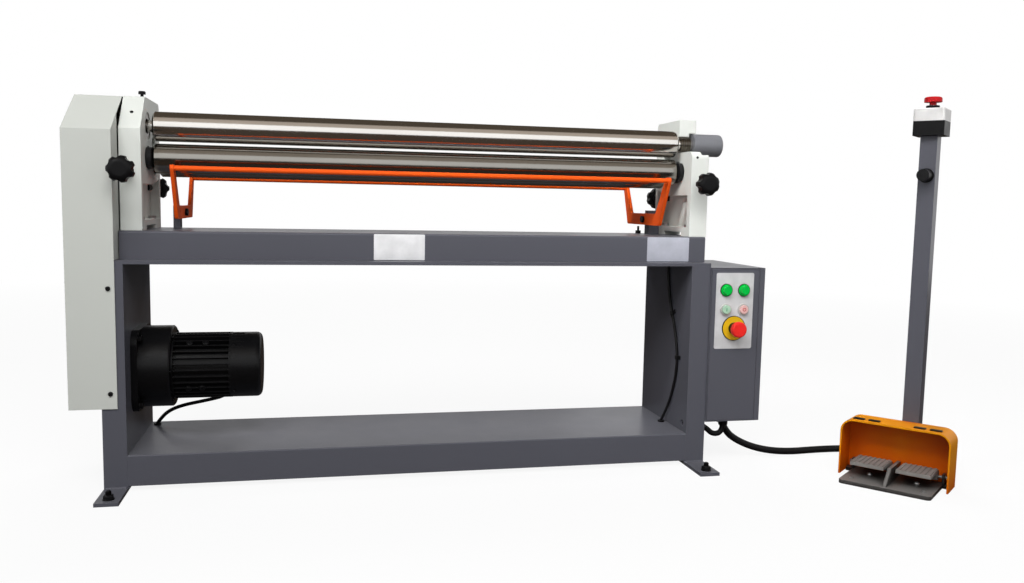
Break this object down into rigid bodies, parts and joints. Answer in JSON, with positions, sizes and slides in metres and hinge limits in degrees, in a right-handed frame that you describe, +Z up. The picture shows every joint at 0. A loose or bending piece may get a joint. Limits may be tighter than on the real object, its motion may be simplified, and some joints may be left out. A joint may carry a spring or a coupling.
{
  "type": "plate rolling machine",
  "caption": "Electric slip roll for bending sheet metal: long steel rolls between cast housings on a sheet-metal stand, with chain drive, trip frame, control cabinet and foot control.",
  "frame": {"origin": "middle of the four anchor holes in the feet, on the floor", "axes": "+Z up, +X along the rolls from the drive end to the release end, -Y is the operator's side"},
  "size_m": [2.0336, 0.7639, 0.928],
  "materials": {
    "machine_paint": "semi-gloss blue-grey enamel",
    "cover_paint": "pale grey-green enamel",
    "casting_paint": "pale enamel on cast iron",
    "sleeve_paint": "semi-gloss blue-grey enamel",
    "roll_steel": "ground and polished",
    "plain_steel": "machined",
    "bearing_iron": "machined, oiled",
    "bronze": "machined, dark with oil",
    "motor_black": "satin black",
    "black_plastic": "moulded",
    "control_parts": "moulded",
    "guard_orange": "gloss enamel",
    "panel_aluminium": "satin",
    "green_lens": "ribbed lens",
    "start_white": "moulded",
    "stop_white": "moulded",
    "signal_yellow": "moulded",
    "signal_red": "moulded",
    "cover_white": "moulded",
    "pedal_iron": "dark enamel",
    "hood_paint": "gloss enamel",
    "treadle_grey": "cast, ribbed",
    "black_rubber": "smooth sheath"
  },
  "bodies": {
    "frame": {"left_leg": "machine_paint", "right_leg": "machine_paint", "bottom_shelf": "machine_paint", "top_plate": "machine_paint", "bed_beam": "machine_paint", "cabinet_box": "machine_paint", "stop_post": "machine_paint", "trip_posts": "machine_paint", "drive_cover": "cover_paint", "left_housing": "casting_paint", "right_housing": "casting_paint", "housing_bolts": "plain_steel", "trip_pivot_bolts": "plain_steel", "drive_chain": "plain_steel", "pedal_pin": "plain_steel", "gearbox": "motor_black", "motor_body": "motor_black", "fan_cowl": "motor_black", "trip_switch": "black_plastic", "oil_cup": "black_plastic", "stop_box_base": "black_plastic", "cable_glands": "black_plastic", "cable_clips": "black_plastic", "control_gear": "control_parts", "stop_box_cover": "cover_white", "pedal_base": "pedal_iron", "pedal_hood": "hood_paint", "pedal_hose": "black_rubber", "leg_hose": "black_rubber", "motor_cable": "black_rubber", "leg_cable": "black_rubber", "post_gland": "black_rubber"},
    "top_roll_cradle": {"top_roll_bush": "bronze"},
    "top_roll": {"top_roll": "roll_steel"},
    "release_sleeve": {"release_sleeve": "sleeve_paint"},
    "top_drive": {"top_drive_gear": "plain_steel", "driven_sprocket": "plain_steel"},
    "lower_blocks": {"lower_roll_blocks": "bearing_iron"},
    "lower_roll": {"lower_roll": "roll_steel", "lower_roll_gear": "plain_steel"},
    "rear_blocks": {"rear_roll_blocks": "bearing_iron"},
    "rear_roll": {"rear_roll": "roll_steel"},
    "front_left_knob": {"front_left_knob": "black_plastic"},
    "front_right_knob": {"front_right_knob": "black_plastic"},
    "rear_left_knob": {"rear_left_knob": "black_plastic"},
    "rear_right_knob": {"rear_right_knob": "black_plastic"},
    "drive_sprocket": {"drive_sprocket": "plain_steel"},
    "motor_fan": {"motor_fan": "black_plastic"},
    "trip_frame": {"trip_frame": "guard_orange"},
    "cabinet_door": {"cabinet_door": "machine_paint", "control_panel": "panel_aluminium", "pilot_lights": "green_lens", "button_bezels": "black_plastic", "estop_ring": "signal_yellow"},
    "start_button": {"start_button": "start_white"},
    "stop_button": {"stop_button": "stop_white"},
    "panel_estop": {"panel_estop": "signal_red"},
    "post_estop": {"post_estop": "signal_red"},
    "left_pedal": {"left_pedal": "treadle_grey"},
    "right_pedal": {"right_pedal": "treadle_grey"}
  },
  "joints": [
    {"name": "top_roll_swing", "type": "hinge", "parent": "frame", "child": "top_roll_cradle", "pos_m": [-0.6565, -0.007, 0.819], "axis": [0, 0, -1], "range_deg": [0, 8]},
    {"name": "top_roll_spin", "type": "hinge", "parent": "top_roll_cradle", "child": "top_roll", "pos_m": [0, -0.007, 0.819], "axis": [1, 0, 0], "continuous": true},
    {"name": "release_sleeve_slide", "type": "slide", "parent": "top_roll_cradle", "child": "release_sleeve", "axis": [1, 0, 0], "range_m": [0, 0.02]},
    {"name": "top_drive_spin", "type": "hinge", "parent": "frame", "child": "top_drive", "pos_m": [0, -0.007, 0.819], "axis": [1, 0, 0], "continuous": true},
    {"name": "lower_roll_lift", "type": "slide", "parent": "frame", "child": "lower_blocks", "axis": [0, 0, 1], "range_m": [-0.003, 0.004]},
    {"name": "lower_roll_spin", "type": "hinge", "parent": "lower_blocks", "child": "lower_roll", "pos_m": [0, -0.007, 0.746], "axis": [1, 0, 0], "continuous": true},
    {"name": "rear_roll_lift", "type": "slide", "parent": "frame", "child": "rear_blocks", "axis": [0, -0.2588, 0.9659], "range_m": [-0.008, 0.04]},
    {"name": "rear_roll_spin", "type": "hinge", "parent": "rear_blocks", "child": "rear_roll", "pos_m": [0, 0.075, 0.739], "axis": [1, 0, 0], "continuous": true},
    {"name": "front_left_knob_turn", "type": "hinge", "parent": "frame", "child": "front_left_knob", "pos_m": [-0.6565, -0.194, 0.714], "axis": [0, 1, 0], "range_deg": [-540, 720]},
    {"name": "front_right_knob_turn", "type": "hinge", "parent": "frame", "child": "front_right_knob", "pos_m": [0.7015, -0.145, 0.714], "axis": [0, 1, 0], "range_deg": [-540, 720]},
    {"name": "rear_left_knob_turn", "type": "hinge", "parent": "frame", "child": "rear_left_knob", "pos_m": [-0.6565, 0.238, 0.679], "axis": [0, -1, 0], "range_deg": [-576, 2880]},
    {"name": "rear_right_knob_turn", "type": "hinge", "parent": "frame", "child": "rear_right_knob", "pos_m": [0.7015, 0.189, 0.679], "axis": [0, -1, 0], "range_deg": [-576, 2880]},
    {"name": "drive_sprocket_spin", "type": "hinge", "parent": "frame", "child": "drive_sprocket", "pos_m": [0, -0.007, 0.25702], "axis": [1, 0, 0], "continuous": true, "deforming": ["drive_chain"]},
    {"name": "motor_fan_spin", "type": "hinge", "parent": "frame", "child": "motor_fan", "pos_m": [0, -0.007, 0.25702], "axis": [1, 0, 0], "continuous": true},
    {"name": "trip_frame_tilt", "type": "hinge", "parent": "frame", "child": "trip_frame", "pos_m": [0, 0.078, 0.621], "axis": [1, 0, 0], "range_deg": [-5, 5], "stiffness_Nm_per_rad": 25},
    {"name": "cabinet_door_hinge", "type": "hinge", "parent": "frame", "child": "cabinet_door", "pos_m": [0.8475, -0.162, 0.309], "axis": [0, 0, 1], "range_deg": [0, 110]},
    {"name": "start_button_press", "type": "slide", "parent": "cabinet_door", "child": "start_button", "axis": [0, 1, 0], "range_m": [0, 0.0035], "stiffness_N_per_m": 300, "springref_m": -0.004},
    {"name": "stop_button_press", "type": "slide", "parent": "cabinet_door", "child": "stop_button", "axis": [0, 1, 0], "range_m": [0, 0.0035], "stiffness_N_per_m": 300, "springref_m": -0.004},
    {"name": "panel_estop_press", "type": "slide", "parent": "cabinet_door", "child": "panel_estop", "axis": [0, 1, 0], "range_m": [0, 0.006], "stiffness_N_per_m": 400, "springref_m": -0.004},
    {"name": "post_estop_press", "type": "slide", "parent": "frame", "child": "post_estop", "axis": [0, 0, -1], "range_m": [0, 0.006], "stiffness_N_per_m": 400, "springref_m": -0.004},
    {"name": "left_pedal_press", "type": "hinge", "parent": "frame", "child": "left_pedal", "pos_m": [1.1429, -0.347, 0.026], "axis": [0.6428, -0.766, 0], "range_deg": [0, 8], "stiffness_Nm_per_rad": 3, "springref_deg": -17.19},
    {"name": "right_pedal_press", "type": "hinge", "parent": "frame", "child": "right_pedal", "pos_m": [1.1429, -0.347, 0.026], "axis": [0.6428, -0.766, 0], "range_deg": [0, 8], "stiffness_Nm_per_rad": 3, "springref_deg": -17.19}
  ],
  "couplings": [
    {"joint": "top_drive_spin", "follows": "top_roll_spin", "ratio": 1},
    {"joint": "lower_roll_spin", "follows": "top_roll_spin", "ratio": -1},
    {"joint": "drive_sprocket_spin", "follows": "top_roll_spin", "ratio": 1},
    {"joint": "motor_fan_spin", "follows": "top_roll_spin", "ratio": 50},
    {"joint": "front_left_knob_turn", "follows": "lower_roll_lift", "rad_per_m": 3141.6},
    {"joint": "front_right_knob_turn", "follows": "lower_roll_lift", "rad_per_m": 3141.6},
    {"joint": "rear_left_knob_turn", "follows": "rear_roll_lift", "rad_per_m": 1256.6},
    {"joint": "rear_right_knob_turn", "follows": "rear_roll_lift", "rad_per_m": 1256.6}
  ]
}
